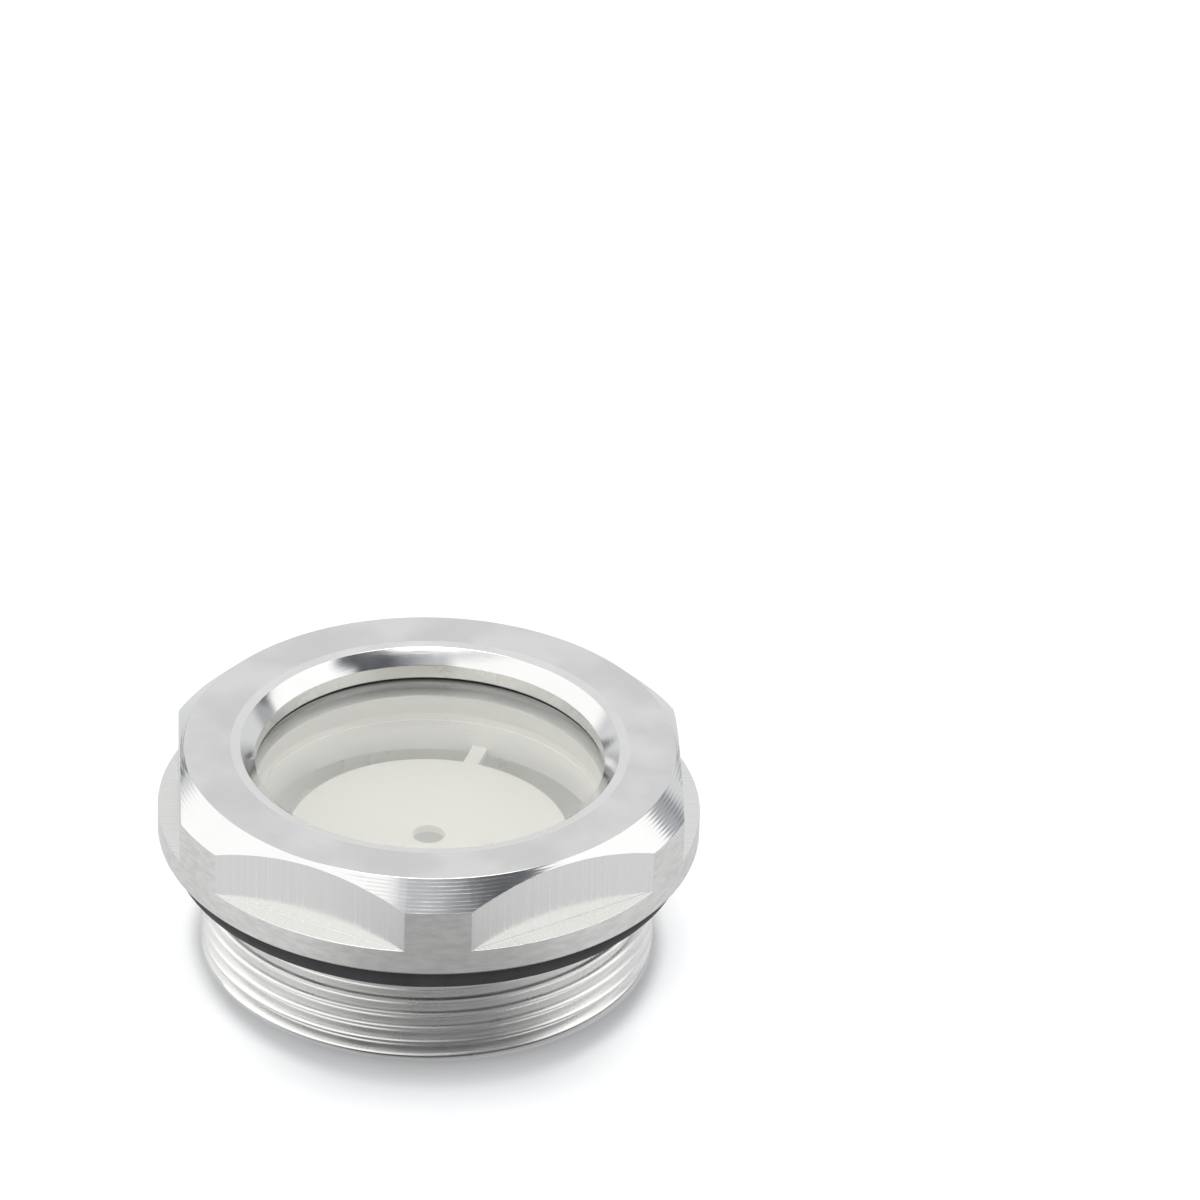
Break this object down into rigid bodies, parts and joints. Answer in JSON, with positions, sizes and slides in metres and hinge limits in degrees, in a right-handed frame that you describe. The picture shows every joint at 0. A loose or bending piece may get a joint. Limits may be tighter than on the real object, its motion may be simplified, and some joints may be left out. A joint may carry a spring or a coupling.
{
  "type": "oil sight glass",
  "caption": "Round aluminium oil sight glass: flange with milled spanner flats over a threaded spigot, rubber O-ring, clear pane and a white spoked reflector cup behind it.",
  "frame": {"origin": "centre of the spigot's lower end, on the part's axis", "axes": "+Z along the axis from the threaded end to the window, -Y through the middle of one round land between two flats"},
  "size_m": [0.05, 0.05, 0.0209],
  "materials": {
    "body": "turned, satin, with milled flats",
    "flange_o_ring": "matt moulded",
    "glass_seal": "matt",
    "glass_disc": "polished, ground edges",
    "reflector": "white, smooth moulded"
  },
  "bodies": {
    "root": {"body": "body", "flange_o_ring": "flange_o_ring", "glass_seal": "glass_seal", "glass_disc": "glass_disc", "reflector": "reflector"}
  },
  "joints": []
}
